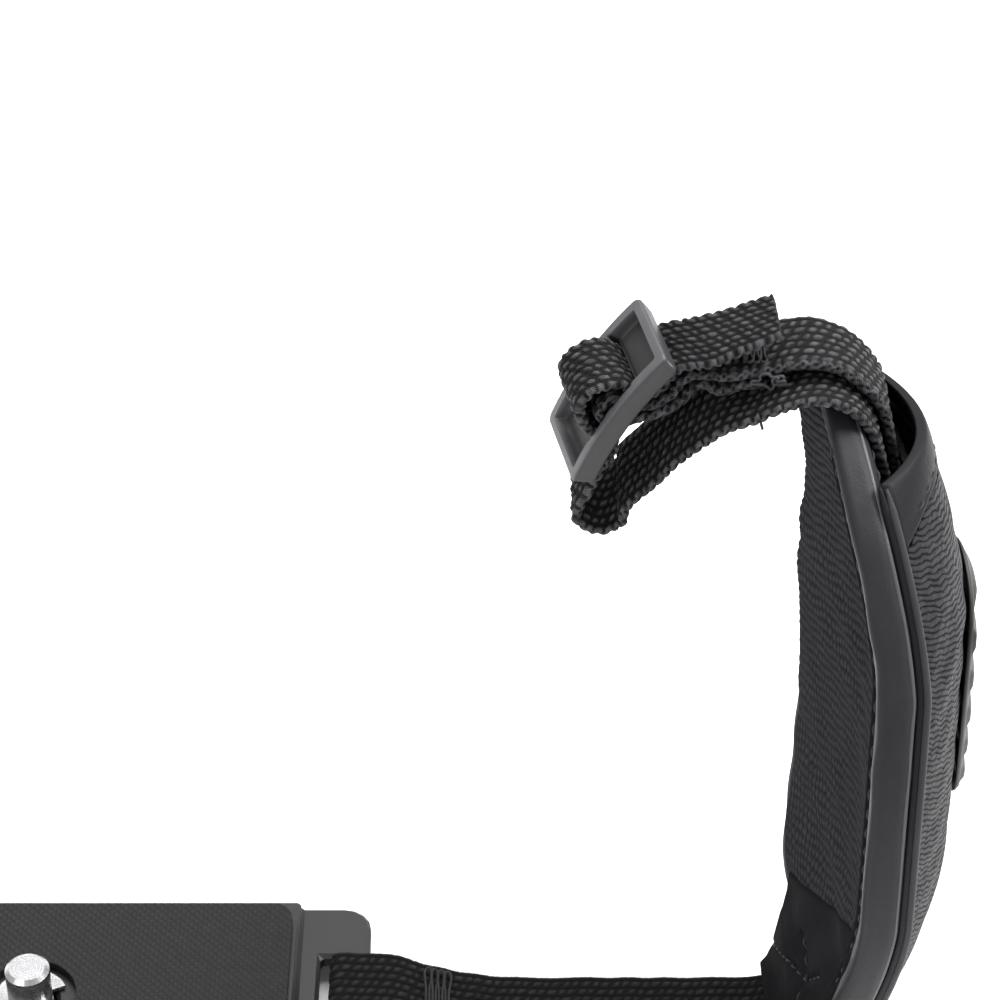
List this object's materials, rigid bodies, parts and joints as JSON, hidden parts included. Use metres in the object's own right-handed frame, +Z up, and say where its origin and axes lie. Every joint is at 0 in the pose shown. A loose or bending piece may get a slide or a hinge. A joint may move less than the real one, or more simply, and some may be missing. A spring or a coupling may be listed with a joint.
{
  "type": "camera hand grip strap",
  "caption": "Padded leather hand strap for a camera, with webbing runs, a plastic slider at the lug and a base plate with a tripod screw.",
  "frame": {"origin": "on the top face of the base plate's rubber pad, where the camera's base sits, at the camera seat mount", "axes": "+X from the plate towards the hand pad, -Y towards the viewer, +Z up"},
  "size_m": [0.1408, 0.0608, 0.1175],
  "materials": {
    "webbing": "coarse ribbed nylon webbing",
    "cover": "pebbled synthetic leather, satin",
    "leather": "smooth synthetic leather, satin",
    "lining": "woven mesh lining, matt",
    "cloth": "plain woven backing, matt",
    "foam": "soft foam padding, hidden",
    "patch": "moulded, satin",
    "thread": "polyester sewing thread",
    "slider": "moulded, fine satin",
    "plate": "fine matt texture",
    "rubber": "matt",
    "steel": "turned, plated"
  },
  "bodies": {
    "strap": {"base_plate": "plate", "bottom_mouth_binding": "leather", "bottom_strap": "webbing", "bottom_strap_tack": "thread", "bottom_tab": "leather", "cover_padding": "foam", "cushion_backing": "cloth", "cushion_foam": "foam", "edge_binding": "leather", "grip_pad": "rubber", "lug_strap": "webbing", "mesh_lining": "lining", "outer_cover": "cover", "raised_patch": "patch", "slider": "slider", "slider_strap": "webbing", "strap_bar_tack": "thread", "top_mouth_binding": "leather"},
    "screw": {"tripod_screw": "steel", "screw_clip": "steel"}
  },
  "joints": [
    {"name": "screw_spin", "type": "hinge", "parent": "strap", "child": "screw", "pos_m": [-0.01, 0, -0.005], "axis": [0, 0, 1], "continuous": true}
  ]
}
